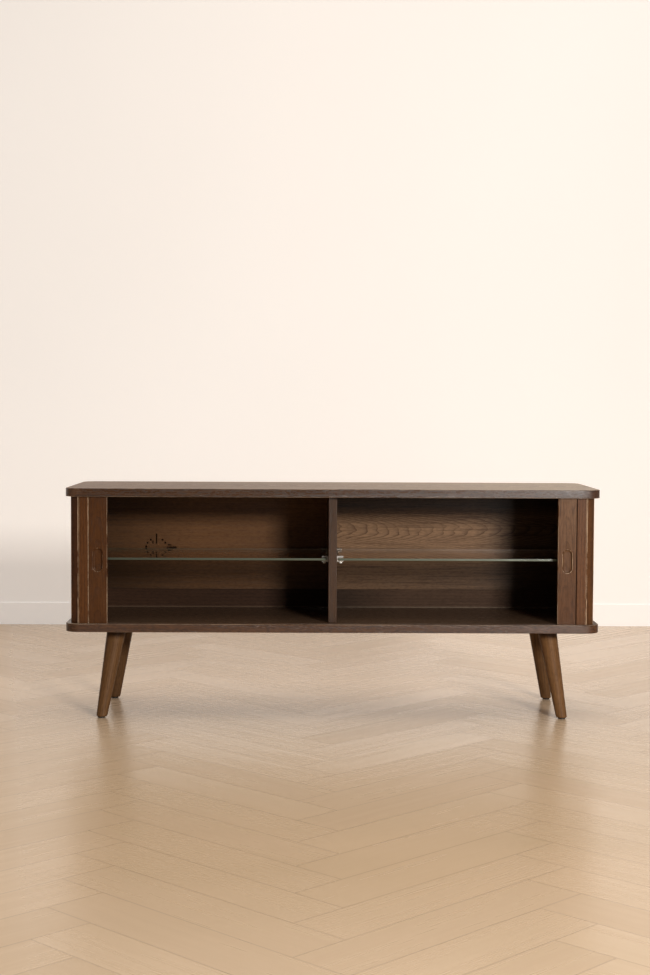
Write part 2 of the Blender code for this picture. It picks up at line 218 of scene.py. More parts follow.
def wood(name, tone, shift=(0.0, 0.0, 0.0), order=None, ring=0.009, wave=1.0, contrast=1.0, crown=None,
         rough=0.31, wear_and_light=0.0, knots=0.0, line=3.0, fine_share=1.0, gloss=1.36, fleck=0.35, tints=()):
    """Stained, satin-lacquered oak. Rings are the sawtooth of across / ring, bent by slow noise; with a crown
    they are the sawtooth of along + A ((1 + (across / b)^4)^0.35 - 1), the nested arches of a flat-sawn board.
    line is the power that narrows each ring's dark side. Fibres and pores are noise stretched 45 to 1 along the
    grain, streaks are wider, flecks short. The arris weight bares the arrises, partly as worn wood and partly as a
    painted highlight, and below 0 it is painted shade in a joint. gloss is the lacquer's index of refraction. A tint
    (axis, start, end, colour, roughness added) takes hold more and more from start to end along one axis; most tints
    here paint shade, shadow or sheen onto part of a piece."""
    look = Look(name)
    raw = look.place(order)
    p = look.node("VectorMath", {"operation": "ADD"}, {0: raw, 1: shift})
    along, across, through = look.parts(p)
    slow = look.noise(p, (1.6, 7.0, 7.0), 2.0) - 0.5
    fine = look.noise(p, (7.0, 42.0, 42.0), 2.0) - 0.5
    if crown:
        at, tall, wide, gap = crown
        off = across - at + slow * 0.012
        arch = ((off / wide) ** 4 + 1.0) ** 0.35 - 1.0
        field = (along + arch * tall + slow * 0.13 * wave + fine * 0.026 * wave) / gap
    else:
        field = (across + through * 0.5 + slow * 0.030 * wave + fine * 0.0035 * wave) / ring
    saw = look.maths("FRACT", field)
    uneven = look.noise(p, (2.5, 30.0, 30.0), 1.0)
    ringed = saw ** line * look.ramp(uneven, 0.30, 0.65, 0.35, 1.0)
    if crown:
        ringed = ringed * look.ramp((off / wide) ** 2, 2.0, 14.0, 1.0, 0.5)
    fibre = look.noise(p, (13.0, 620.0, 620.0), 3.0, 0.6)
    streak = look.noise(p, (7.0, 230.0, 230.0), 3.0, 0.6)
    pore = look.step(look.noise(p, (55.0, 2400.0, 2400.0), 1.0), 0.56, 0.70) * look.ramp(saw, 0.25, 1.0, 0.25, 1.0)
    cloud = look.noise(p, (2.2, 9.0, 9.0), 3.0, 0.55)
    deep, pale = times(tone, (0.36, 0.31, 0.29)), times(tone, (1.42, 1.48, 1.52))
    base = look.mix(look.ramp(cloud, 0.28, 0.74), times(tone, 0.82), times(tone, 1.18))
    base = look.mix(look.ramp(streak, 0.40, 0.68) * (0.40 * contrast), base, pale)
    base = look.mix(look.ramp(streak, 0.46, 0.28) * (0.45 * contrast), base, deep)
    base = look.mix(look.ramp(fibre, 0.35, 0.70) * (0.26 * contrast * fine_share), base, pale)
    base = look.mix(look.clamp(ringed * (0.62 * contrast)), base, deep)
    base = look.mix(look.clamp(pore * (0.55 * contrast)), base, deep)
    if knots:
        spot = look.noise(p, (16.0, 60.0, 60.0), 2.0, 0.5, 0.6)
        base = look.mix(look.step(spot, 0.60, 0.74) * knots, base, deep)
    flecks = look.noise(p, (80.0, 270.0, 270.0), 3.0, 0.6)
    base = look.mix(look.ramp(flecks, 0.50, 0.66) * fleck, base, deep)
    base = look.mix(look.ramp(flecks, 0.46, 0.32) * (fleck * 0.75), base, pale)
    shine = look.ramp(fibre, 0.3, 0.7, rough - 0.03, rough + 0.03) + ringed * 0.05
    for axis, start, end, colour, *dull in tints:
        share = look.ramp(look.parts(raw)[axis], start, end)
        base = look.mix(1.0, base, look.mix(share, (1.0, 1.0, 1.0), colour), "MULTIPLY")
        shine = shine + share * sum(dull)
    shine = shine + look.ramp(flecks, 0.45, 0.62) * (fleck * 0.16)
    shine = shine + look.ramp(streak, 0.35, 0.65, -0.03, 0.03)
    # bare arrises are worn wood and a painted highlight; a weight below 0 is painted shade in the joint, a darker copy
    # of the tone
    if wear_and_light:
        rub_and_light = look.node("Attribute", {"attribute_name": "wear_and_light"}, {}, 2)
        chips = look.noise(raw, (34.0, 260.0, 260.0), 3.0, 0.65)
        long = look.noise(raw, (5.0, 40.0, 40.0), 1.0)
        bare_and_lit = look.clamp(look.step(rub_and_light + (chips - 0.5) * 1.1 + (long - 0.5) * 0.9, 0.72, 0.98) * wear_and_light)
        joint_shade = look.clamp(rub_and_light * -1.0)
        base = look.mix(joint_shade, base, times(tone, 0.10))
        base = look.mix(bare_and_lit, base, BARE_AND_LIT_OAK)
        shine = shine + bare_and_lit * 0.16 + joint_shade * 0.5
    height = fibre * 0.35 - ringed * 0.25 - pore * 0.9 + flecks * (fleck * 1.6)
    return look.done(
        look.surface(Base_Color=base, Roughness=shine, IOR=gloss, Normal=look.bump(height, 0.00022, 0.5))
    )


def metal(name, tone, rough, brush, grime=0.25, metallic=1.0):
    """Metal with fine scratches along one axis (brush stretches them), smudges and dull patches."""
    look = Look(name)
    p = look.place("xyz")
    scratch = look.noise(p, brush, 4.0, 0.65)
    smudge = look.noise(p, (60.0, 60.0, 60.0), 3.0)
    base = look.mix(look.ramp(smudge, 0.35, 0.75) * grime, tone, times(tone, 0.55))
    base = look.mix(look.ramp(scratch, 0.55, 0.8) * 0.25, base, tuple(min(1.0, c * 1.25) for c in tone))
    shine = look.ramp(scratch, 0.3, 0.7, rough, rough + 0.10) + look.ramp(smudge, 0.3, 0.8) * 0.12
    return look.done(look.surface(
        Base_Color=base, Metallic=metallic, Roughness=shine, Normal=look.bump(scratch, 0.00004, 0.5)))


def nylon(name):
    """Moulded nylon: near black, a fine pebbled skin and scuffs near the floor."""
    look = Look(name)
    p = look.place("xyz")
    pebble = look.noise(p, (2600.0, 2600.0, 2600.0), 2.0)
    scuff = look.noise(p, (420.0, 420.0, 900.0), 3.0)
    base = look.mix(look.ramp(scuff, 0.5, 0.8) * 0.6, (0.016, 0.015, 0.014), (0.07, 0.062, 0.055))
    return look.done(look.surface(
        Base_Color=base, Roughness=look.ramp(scuff, 0.3, 0.8, 0.42, 0.62), Normal=look.bump(pebble, 0.00006, 0.5)))


def glass_face(name):
    """Float glass seen through its faces: what comes through is tinted, the rest is mirrored by Fresnel's law."""
    look = Look(name)
    p = look.place("xyz")
    smear = look.noise(p, (14.0, 22.0, 3.0), 3.0, 0.6)
    tint = look.mix(look.ramp(smear, 0.35, 0.7), (0.95, 0.93, 0.90), (0.93, 0.91, 0.87))
    clear = look.node("BsdfTransparent", {}, {"Color": tint})
    shine = look.node("BsdfGlossy", {}, {"Color": (0.93, 0.87, 0.83, 1.0), "Roughness":
                                         look.ramp(smear, 0.35, 0.8, 0.01, 0.05)})
    inside = look.node("NewGeometry", {}, {}, 6)
    inwards, outwards = (look.node("Fresnel", {}, {"IOR": index}) for index in (1.5, 1 / 1.5))
    share = inwards * (1.0 - inside) + outwards * inside
    return look.done(look.node("MixShader", {}, {0: share, 1: clear, 2: shine}))


def glass_edge(name, pale=(1.0, 1.0, 1.0)):
    """The ground and polished rim of the pane: sea green, cloudy, with the light that runs inside the pane.
    pale multiplies its colour; the rear rim's is raised to paint a highlight along the pane's rear edge. The colour
    darkens towards -X as painted shade on the side away from the light."""
    look = Look(name)
    p = look.place("xyz")
    band = look.noise(p, (30.0, 30.0, 900.0), 3.0, 0.6)
    drift = look.noise(p, (5.0, 5.0, 5.0), 2.0)
    base = look.mix(look.ramp(drift, 0.3, 0.7), times((0.085, 0.104, 0.066), pale), times((0.130, 0.152, 0.104), pale))
    base = look.mix(look.ramp(band, 0.45, 0.75) * 0.4, base, (0.20, 0.25, 0.20))
    # painted shade: the rim darkens towards -X, the side away from the light
    base = look.mix(look.ramp(look.parts(p)[0], 0.5, -0.5), base, (0.05, 0.062, 0.044))
    return look.done(look.surface(
        Base_Color=base, Roughness=look.ramp(band, 0.3, 0.7, 0.12, 0.26), Coat_Weight=1.0, Coat_Roughness=0.28,
        Normal=look.bump(band, 0.00005, 0.4)))


# ------------------------------------------------------------------ surfaces
def grid(points):
    """Quads between the neighbours of an array of points; the last axis is x, y, z and the arris weight: above 0
    worn wood with its painted highlight, below 0 painted shade in a joint.
    """
    m, n = points.shape[:2]
    k = np.arange(m * n).reshape(m, n)
    quads = np.stack([k[:-1, :-1], k[1:, :-1], k[1:, 1:], k[:-1, 1:]], -1).reshape(-1, 4)
    return points.reshape(m * n, -1), quads


def flat(*loops):
    """Triangles over the flat area inside the first closed loop and outside the others."""
    triangles = tessellate_polygon([[Vector(p[:3]) for p in loop] for loop in loops])
    return np.concatenate(loops), np.array(triangles)


def joined(*parts):
    """One skin from several: points that coincide to a micrometre become one, and empty faces go."""
    starts = np.cumsum([0] + [len(p) for p, _ in parts])
    points = np.concatenate([p for p, _ in parts])
    key = np.round(points[:, :3] * 1e6).astype(np.int64)
    _, first, which = np.unique(key, axis=0, return_index=True, return_inverse=True)
    which = which.ravel()
    faces = []
    for (_, f), start in zip(parts, starts):
        for face in which[f + start].tolist():
            kept = list(dict.fromkeys(face))
            if len(kept) > 2:
                faces.append(kept)
    return points[first], faces


def piece(name, skin, looks, body=None, slot=None, nodes=(), grain=None, pick=None, angle=40.0):
    """Makes the object: faces outwards, smooth below the angle, the arris weight (worn wood, painted highlight and
    painted shade) and grain attributes, its body and the nodes it stands for. grain(points, centres) gives the
    grain's coordinates at every face corner from
    the corner's place and its face's centre; pick(centres) gives each face's material. slot is not used."""
    points, faces = skin
    mesh = bpy.data.meshes.new(name)
    mesh.from_pydata(points[:, :3].tolist(), [], faces)
    bm = bmesh.new()
    bm.from_mesh(mesh)
    bmesh.ops.recalc_face_normals(bm, faces=bm.faces)
    if bm.calc_volume(signed=True) < 0:
        bmesh.ops.reverse_faces(bm, faces=bm.faces)
    bm.to_mesh(mesh)
    bm.free()
    mesh.shade_smooth()
    mesh.set_sharp_from_angle(angle=math.radians(angle))
    wear_and_light = points[:, 3] if points.shape[1] > 3 else np.zeros(len(points))
    mesh.attributes.new("wear_and_light", "FLOAT", "POINT").data.foreach_set("value", wear_and_light.astype(np.float32))
    sizes = np.empty(len(mesh.polygons), np.int32)
    mesh.polygons.foreach_get("loop_total", sizes)
    corners = np.empty(len(mesh.loops), np.int32)
    mesh.loops.foreach_get("vertex_index", corners)
    owner = np.repeat(np.arange(len(sizes)), sizes)
    place = np.empty(len(mesh.vertices) * 3, np.float32)
    mesh.vertices.foreach_get("co", place)
    place = place.reshape(-1, 3).astype(float)[corners]
    centres = np.stack([np.bincount(owner, place[:, k]) / sizes for k in range(3)], -1)
    if grain:
        along = grain(place, centres[owner]).astype(np.float32)
        mesh.attributes.new("grain", "FLOAT_VECTOR", "CORNER").data.foreach_set("vector", along.ravel())
    looks = looks if isinstance(looks, (list, tuple)) else [looks]
    for look in looks:
        mesh.materials.append(look)
    if pick:
        mesh.polygons.foreach_set("material_index", pick(centres).astype(np.int32))
    mesh.update()
    ob = bpy.data.objects.new(name, mesh)
    bpy.context.scene.collection.objects.link(ob)
    flats = ob.modifiers.new("flats", "WEIGHTED_NORMAL")
    flats.keep_sharp = True
    if body:
        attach(ob, body)
    if nodes:
        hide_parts(*nodes)
    return ob


def quarter(n=5):
    """Angles from 0 to 90 degrees."""
    return np.linspace(0.0, math.pi / 2, n + 1)


def lip(radius, n=5):
    """A quarter round as (set in, set down, arris weight): from the face, in by radius, to the side, down by radius;
    the arris weight marks worn wood with its painted highlight.
    """
    a = quarter(n)
    return np.stack([radius * (1 - np.sin(a)), radius * (1 - np.cos(a)), np.sin(2 * a)], -1)


def round_outline(width, depth, radius, n=14):
    """Plan outline as a function of the inset: four straight sides and four arcs, closed."""
    a = np.concatenate([np.radians(start + np.linspace(0, 90, n + 1)) for start in (-90, 0, 90, 180)])
    sx = np.repeat([1, 1, -1, -1], n + 1)
    sy = np.repeat([-1, 1, 1, -1], n + 1)

    def at(inset, r=None):
        r = radius - inset if r is None else r
        x = sx * (width / 2 - inset - r) + r * np.cos(a)
        y = sy * (depth / 2 - inset - r) + r * np.sin(a)
        ring = np.stack([x, y], -1)
        return np.concatenate([ring, ring[:1]])

    return at


def ring3(plan, z, wear_and_light=0.0):
    """A closed plan ring at height z, with its arris weight for worn wood, painted highlight and painted shade."""
    n = len(plan)
    return np.column_stack([plan, np.full(n, z), np.full(n, wear_and_light)])


def prism(plan, heights, wear_and_light=None):
    """A closed plan outline carried straight up through heights, with flat ends."""
    closed = np.concatenate([plan, plan[:1]])
    rub_and_light = np.zeros(len(closed)) if wear_and_light is None else np.concatenate([wear_and_light, wear_and_light[:1]])
    wall = np.stack([np.column_stack([closed, np.full(len(closed), z), rub_and_light]) for z in heights])
    return joined(grid(wall), flat(wall[0, :-1]), flat(wall[-1, :-1]))


def rounded_box(low, high, radius, n=4):
    """A box with rounded edges: a point q of the cube goes to inner(q) + radius * unit(q - inner(q)), where
    inner(q) is q held inside the box shrunk by radius. Grid lines stand at even angles of the rounding."""
    low, high = np.array(low, float), np.array(high, float)
    half, mid = (high - low) / 2, (high + low) / 2
    arc = np.tan(np.linspace(0, math.pi / 4, n // 2 + 1)) * radius
    parts = []
    for axis in range(3):
        for sign in (-1, 1):
            u, v = [(axis + k) % 3 for k in (1, 2)]
            lines = []
            for w in (u, v):
                end = half[w] - radius + arc
                lines.append(np.concatenate([-end[::-1], [-end[0] + 2e-4, end[0] - 2e-4], end]))
            q = np.zeros((len(lines[0]), len(lines[1]), 3))
            q[..., u], q[..., v] = lines[0][:, None], lines[1][None, :]
            q[..., axis] = sign * half[axis]
            inner = np.clip(q, radius - half, half - radius)
            away = q - inner
            p = inner + radius * away / np.linalg.norm(away, axis=-1, keepdims=True)
            rub_and_light = np.clip(2.6 * (1 - np.max(np.abs(away), -1) / np.linalg.norm(away, axis=-1)), 0, 1)
            parts.append(grid(np.concatenate([p + mid, rub_and_light[..., None]], -1)))
    return joined(*parts)


def turned(axis, profile, n=48, shape=None):
    """A profile of (height, radius) turned round an axis that leans: ring centre = axis(height), radius =
    profile radius * shape(angle, which ring). Both ends are closed flat."""
    a = np.linspace(0, 2 * math.pi, n + 1)
    a[-1] = 0.0
    rings = []
    for k, (z, r) in enumerate(profile):
        rr = r * (shape(a, k) if shape else 1.0)
        cx, cy = axis(z)
        rings.append(ring3(np.stack([cx + rr * np.cos(a), cy + rr * np.sin(a)], -1), z))
    rings = np.array(rings)
    return joined(grid(rings), flat(rings[0, :-1]), flat(rings[-1, :-1]))


def mirrored(plan, side):
    return plan * np.array([side, 1.0])


def softened(node, name, look, width, angle=30.0):
    """A merged copy of a CAD node with its flat faces made whole and its edges rounded by a bevel."""
    bm = bmesh.new()
    bm.from_mesh(NODES[node].data)
    bmesh.ops.remove_doubles(bm, verts=bm.verts, dist=1e-6)
    bmesh.ops.dissolve_limit(bm, angle_limit=math.radians(1.0), verts=bm.verts[:], edges=bm.edges[:])
    bmesh.ops.recalc_face_normals(bm, faces=bm.faces)
    mesh = bpy.data.meshes.new(name)
    bm.to_mesh(mesh)
    bm.free()
    mesh.shade_smooth()
    mesh.set_sharp_from_angle(angle=math.radians(angle))
    mesh.materials.clear()
    mesh.materials.append(look)
    ob = bpy.data.objects.new(name, mesh)
    bpy.context.scene.collection.objects.link(ob)
    bevel = ob.modifiers.new("edges", "BEVEL")
    bevel.width, bevel.segments, bevel.limit_method = width, 3, "ANGLE"
    bevel.angle_limit, bevel.harden_normals = math.radians(angle), False
    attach(ob, NODES[node]["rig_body"])
    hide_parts(node)
    return ob


def dress(node, look):
    """A CAD node stays as it is and gets a better material."""
    for s in NODES[node].material_slots:
        s.material = look


# ------------------------------------------------------------------ boards
WIDTH, DEPTH, BOARD_R, BOARD_EDGE = 1.400, 0.400, 0.037, 0.0015
GROOVE_OUT, GROOVE_IN, GROOVE_IN_R, GROOVE_DEEP = 0.0125, 0.0225, 0.028, 0.006
OUTLINE = round_outline(WIDTH, DEPTH, BOARD_R)


def board(name, node, z_out, z_in, look, holes=(), pick=None):
    """The outline carried down a profile: the flat, a quarter round, the edge, a quarter round, then the
    inner face with the groove that the slats run in. holes are round pockets in the outer face."""
    up = 1 if z_in > z_out else -1
    rings = [ring3(OUTLINE(BOARD_EDGE + 0.0005), z_out)]
    rings += [ring3(OUTLINE(i), z_out + up * d, w) for i, d, w in lip(BOARD_EDGE)]
    rings += [ring3(OUTLINE(i), z_in - up * d, w) for i, d, w in lip(BOARD_EDGE)[::-1]]
    deep = z_in - up * GROOVE_DEEP
    rings += [ring3(OUTLINE(BOARD_EDGE + 0.0005), z_in), ring3(OUTLINE(GROOVE_OUT), z_in)]
    rings += [ring3(OUTLINE(GROOVE_OUT), deep), ring3(OUTLINE(GROOVE_IN, GROOVE_IN_R), deep)]
    rings += [ring3(OUTLINE(GROOVE_IN, GROOVE_IN_R), z_in)]
    rings = np.array(rings)
    parts = [grid(rings), flat(rings[-1, :-1])]
    a = np.linspace(0, 2 * math.pi, 25)
    a[-1] = 0.0
    rims = []
    for x, y, r, deep in holes:
        circle = np.stack([x + r * np.cos(a), y + r * np.sin(a)], -1)
        wall = np.array([ring3(circle, z_out), ring3(circle, z_out + up * deep)])
        parts += [grid(wall), flat(wall[1, :-1])]
        rims.append(wall[0, :-1])
    parts.append(flat(rings[0, :-1], *rims))
    return piece(name, joined(*parts), look, "carcase", "board_wood", [node], pick=pick)


Z_UNDER, Z_FLOOR, Z_CEIL, HEIGHT, Z_MID = 0.234, 0.256, 0.588, 0.610, 0.422
EDGE_TONE, BASE_TONE = (0.056, 0.026, 0.0125), (0.078, 0.037, 0.020)
# the top's underside gets a darker copy of the oak: painted shade under the top
TOP_TONE, UNDER_SHADE_TONE = (0.160, 0.079, 0.037), (0.030, 0.014, 0.008)
HAIR = 0.0001
board("top", "top_board", HEIGHT, Z_CEIL,
      [wood("top_edge_oak", EDGE_TONE, (0.7, 0.31, 0.0), "xyz", ring=0.011, wear_and_light=0.5, rough=0.25, gloss=1.50,
            fleck=0.85,
            # painted sheen: the edge's left end, round the corner, is paler and cooler
            tints=[(0, 0.645, 0.675, (1.0, 0.72, 0.45), 0.30), (0, -0.650, -0.675, (1.8, 2.0, 2.4))]),
       # painted sheen: the top face grows paler and greyer towards +X
       wood("top_face_oak", TOP_TONE, (0.7, 0.31, 0.0), "xyz", rough=0.41, contrast=1.3, line=2.0, wave=1.4,
            crown=(0.31, 0.30, 0.045, 0.075), tints=[(0, -0.4, 0.6, (2.2, 3.2, 4.6))]),
       # painted shade: the underside is a darker copy of the oak
       wood("top_under_shaded_oak", UNDER_SHADE_TONE, (0.7, 0.31, 0.0), "xyz", ring=0.011, rough=0.45, gloss=1.2)],
      pick=lambda c: np.where(c[:, 2] > HEIGHT - HAIR, 1, np.where(c[:, 2] < Z_CEIL + HAIR, 2, 0)))
LEGS = [(word, where, s, t) for word, s in SIDES for where, t in (("front", -1), ("rear", 1))]
LEG_TOP, LEG_FOOT = np.array([0.5735, 0.110]), np.array([0.610, 0.146])
PLATE_T, PAD_H, FIT = 0.0025, 0.003, 0.0003
Z_LEG = Z_UNDER - PLATE_T - FIT
BOLT_R, BOSS_R, BOSS_H = 0.004, 0.0090, 0.0080


def leg_axis(s, t):
    """The plan place of a leg's axis as a function of height: straight from the foot to under the plate."""
    def at(z):
        u = np.asarray(z) / Z_LEG
        return tuple(side * (foot + (top - foot) * u) for side, foot, top in zip((s, t), LEG_FOOT, LEG_TOP))
    return at


board("base", "bottom_board", Z_UNDER, Z_FLOOR,
      wood("base_oak", BASE_TONE, (2.1, 0.17, 0.0), "xyz", ring=0.010, wear_and_light=0.5, rough=0.29, gloss=1.42, fleck=0.9,
           # painted highlight: the upper front arris, and the bay floor above it, are paler and cooler
           tints=[(2, 0.2553, 0.2559, (1.25, 1.5, 1.6)), (0, 0.645, 0.675, (1.1, 0.9, 0.6), 0.22)]),
      [(*leg_axis(s, t)(Z_LEG), BOSS_R + 2 * FIT, BOSS_H + 4 * FIT) for _, _, s, t in LEGS])

# ------------------------------------------------------------------ divider, sides, backs and rails
Z0, Z1, HALF_T = Z_FLOOR + FIT, Z_CEIL - FIT, 0.011
DIVIDER_FRONT, SIDE_FRONT, BACK_Y = -0.168, -0.160, 0.1597
SIDE_OUT, SIDE_IN = 0.672, 0.656
piece("divider", rounded_box((-HALF_T, DIVIDER_FRONT, Z0), (HALF_T, BACK_Y, Z1), 0.0010),
      wood("divider_oak", (0.056, 0.028, 0.0145), (0.3, 0.1, 0.6), "zyx", ring=0.012, wear_and_light=0.25, contrast=0.7),
      "carcase", "board_wood", ["centre_divider"])
# painted highlight: a paler, cooler line along the foot of each rail
FOOT_HIGHLIGHT = (1, 0.2600, 0.2592, (2.2, 2.9, 3.4))
RAILS = {"left": ((0.042, 0.020, 0.011), [FOOT_HIGHLIGHT]),
         "right": ((0.068, 0.037, 0.022), [FOOT_HIGHLIGHT, (0, 0.20, 0.04, (0.45, 0.46, 0.46))])}
for word, s in SIDES:
    x0, x1 = sorted((s * SIDE_OUT, s * SIDE_IN))
    piece(f"{word}_side", rounded_box((x0, SIDE_FRONT, Z0), (x1, BACK_Y, Z1), 0.0008),
          wood(f"{word}_side_oak", (0.060, 0.030, 0.017), (1.0 + s, 0.4, 0.2), "yzx", ring=0.012),
          "carcase", "board_wood", [f"{word}_side_panel"])
    tone, tints = RAILS[word]
    dress(f"{word}_back_rail", wood(f"{word}_rail_oak", tone, (0.9 + s, 0.2, 0.1), "xzy", rough=0.45, contrast=0.6,
                                    gloss=1.15, tints=tints))
# painted shade: the left back panel is darker below the glass shelf and towards its left end
dress("left_back_panel", wood(
    "left_back_oak", (0.128, 0.060, 0.025), (0.4, 0.05, 0.3), "xzy", ring=0.016, wave=0.8, contrast=0.5, rough=0.33,
    fine_share=0.3, gloss=1.2,
    tints=[(1, 0.41, 0.37, (0.66, 0.68, 0.72)), (0, -0.38, -0.66, (0.40, 0.40, 0.40))]))
# painted shade below the glass shelf, and painted shadow along the top and towards the right end, cast by the top
# board and the right door
dress("right_back_panel", wood(
    "right_back_oak", (0.215, 0.122, 0.064), (-0.02, -0.478, 0.0), "xzy", crown=(0.0, 0.070, 0.018, 0.036),
    contrast=2.0, wave=2.1, rough=0.33, line=4.0, fine_share=0.5, gloss=1.2,
    tints=[(1, 0.41, 0.37, (0.50, 0.48, 0.47)), (1, 0.515, 0.545, (0.26, 0.25, 0.24)),
           (0, 0.40, 0.52, (0.42, 0.42, 0.42))]))

# ------------------------------------------------------------------ glass, clips and screws
# the rear rim's colour is raised to paint a highlight along the pane's rear edge
GLASS = [glass_face("glass_clear"), glass_edge("glass_rim"), glass_edge("glass_rear_rim_highlight", (3.8, 2.6, 3.4))]
PLATED = (1.0, 0.985, 0.96)
# lit and shaded copies of one plating: the left bay's front clips and thumbscrews are darkened as painted shade
CHROME = {word: metal(f"{word}_clip_chrome", times(PLATED, k), 0.12, (90.0, 900.0, 900.0), 0.2, 0.65)
          for word, k in (("left", 0.34), ("right", 0.84))}
SCREW = {word: metal(f"{word}_screw_chrome", times(PLATED, k), 0.15, (500.0, 500.0, 1200.0), 0.2, 0.65)
         for word, k in (("left", 0.42), ("right", 0.78))}
DULL = metal("rear_clip_steel", (0.16, 0.14, 0.12), 0.34, (90.0, 900.0, 900.0), 0.5)
PANE_IN, PANE_OUT, PANE_FRONT, PANE_REAR, PANE_T, PANE_EDGE = 0.0158, 0.6512, -0.148, 0.150, 0.006, 0.0006
SHANK_R, HEAD_H, SOCKET_R = 0.0025, 0.0035, 0.0014


def knurl(a, k):
    """A hexagon socket for the first rings, a knurled head for the next ones, then round."""
    if k < 3:
        return 1.0 / np.cos((a % (math.pi / 3)) - math.pi / 6)
    return 1.0 + (0.035 * np.cos(18 * a) if 4 < k < 8 else 0.0)


for word, s in SIDES:
    x0, x1 = sorted((s * PANE_IN, s * PANE_OUT))
    low, high = (x0, PANE_FRONT, Z_MID - PANE_T / 2), (x1, PANE_REAR, Z_MID + PANE_T / 2)
    piece(f"{word}_pane", rounded_box(low, high, PANE_EDGE), GLASS, "carcase", "shelf_glass", [f"{word}_glass_shelf"],
          pick=lambda c: np.where(np.abs(c[:, 2] - Z_MID) > 0.00285, 0, np.where(c[:, 1] > 0.149, 2, 1)))
    for wall in ("inner", "outer"):
        for where in ("front", "rear"):
            clip = f"{word}_{wall}_{where}_clip"
            softened(clip, clip + "_plated", CHROME[word] if where == "front" else DULL, 0.0005)
            low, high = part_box(clip + "_screw")
            cx, cy = (low.x + high.x) / 2, (low.y + high.y) / 2
            z0, top, head = low.z, high.z, (high.x - low.x) / 2
            profile = [(z0 + 0.0016, SOCKET_R), (z0 + 0.0002, SOCKET_R), (z0, SOCKET_R + 0.0001), (z0, head - 0.0008),
                       (z0 + 0.0002, head - 0.0003), (z0 + 0.0006, head - 0.00015), (z0 + 0.0028, head - 0.00015),
                       (z0 + 0.0033, head - 0.0004), (z0 + HEAD_H, head - 0.0009), (z0 + HEAD_H, SHANK_R),
                       (top, SHANK_R)]
            piece(clip + "_thumbscrew", turned(lambda z: (cx, cy), profile, 72, knurl),
                  SCREW[word] if where == "front" else DULL, "carcase", "clip_metal", [clip + "_screw"])

# ------------------------------------------------------------------ legs, plates, bolts and pads
LEG_R_TOP, LEG_R_FOOT, FOOT_ROUND, TOP_ROUND, BOLT_DEEP = 0.0252, 0.0145, 0.004, 0.001, 0.034
PLATE_R, PAD_R = 0.0360, 0.0100
LEG_TONE = (0.140, 0.069, 0.027)
STEEL = metal("plate_steel_dark", (0.060, 0.060, 0.062), 0.38, (400.0, 60.0, 400.0), 0.4)
ZINC = metal("bolt_zinc", (0.60, 0.58, 0.50), 0.30, (300.0, 300.0, 2000.0))
NYLON = nylon("pad_nylon_black")
for k, (word, where, s, t) in enumerate(LEGS):
    name, axis = f"{where}_{word}_leg", leg_axis(s, t)
    # the leg: a straight taper, rounded at the foot, with the bolt's hole in its top
    foot = PAD_H + FIT
    a = quarter(6)
    zs = np.concatenate([foot + FOOT_ROUND * (1 - np.cos(a)), np.linspace(foot + 0.010, Z_LEG - 0.003, 14),
                         Z_LEG - TOP_ROUND * (1 - np.sin(a[1:]))])
    taper = LEG_R_FOOT + (LEG_R_TOP - LEG_R_FOOT) * (zs - foot) / (Z_LEG - foot)
    rs = taper - np.concatenate([FOOT_ROUND * (1 - np.sin(a)), np.zeros(14), TOP_ROUND * (1 - np.cos(a[1:]))])
    profile = [*zip(zs, rs), (Z_LEG, BOLT_R + FIT), (Z_LEG - BOLT_DEEP, BOLT_R + FIT)]

    def lengthways(points, centres, axis=axis, k=k):
        """Along = height, across and through = the plan place measured from the leaning axis."""
        cx, cy = axis(points[:, 2])
        return np.stack([points[:, 2] + 0.7 * k, points[:, 0] - cx + 0.09 * k, points[:, 1] - cy], -1)

    # lit and shaded copies of one stain: the rear legs are darker and the right legs lighter, painted shade and light;
    # each leg also darkens towards its top as painted shadow under the base board
    piece(f"{name}_turned", turned(axis, profile, 64),
          wood(f"{name}_oak", times(LEG_TONE, (1.06 if t < 0 else 0.73) * (1.0 + 0.09 * s)), (0.2, 0.0, 0.0), None,
               ring=0.006, contrast=0.9, rough=0.50, gloss=1.22,
               tints=[(0, 0.205 + 0.7 * k, 0.228 + 0.7 * k, (0.12, 0.09, 0.06), 0.15)]),
          "carcase", "leg_wood", [name], grain=lengthways)
    # the plate: a flange with a rounded lower rim and a boss in the board, bored along the leaning bolt
    low, high, boss = Z_LEG + FIT, Z_UNDER - FIT, Z_UNDER + BOSS_H
    plate = [(low, BOLT_R + FIT), (low, PLATE_R - 0.0015), (low + 0.0002, PLATE_R - 0.0006),
             (low + 0.0007, PLATE_R - 0.0001), (low + 0.0012, PLATE_R), (high, PLATE_R), (high, BOSS_R),
             (boss - 0.0004, BOSS_R), (boss, BOSS_R - 0.0004), (boss, BOLT_R + FIT), (low, BOLT_R + FIT)]
    ang = np.linspace(0, 2 * math.pi, 49)
    ang[-1] = 0.0
    shell = []
    for z, r in plate:
        cx, cy = axis(z if r == BOLT_R + FIT else Z_LEG)
        shell.append(ring3(np.stack([cx + r * np.cos(ang), cy + r * np.sin(ang)], -1), z))
    piece(f"{name}_flange", joined(grid(np.array(shell))), STEEL, "carcase", "plate_steel", [f"{name}_plate"])
    fx, fy = axis(0.0)
    piece(f"{name}_glide", turned(lambda z: (fx, fy),
                                  [(0.0, 0.0086), (0.0002, 0.0092), (0.0007, 0.0098), (0.0014, PAD_R),
                                   (PAD_H, PAD_R)], 40), NYLON, "carcase", "pad_nylon", [f"{name}_pad"])
    dress(f"{name}_bolt", ZINC)

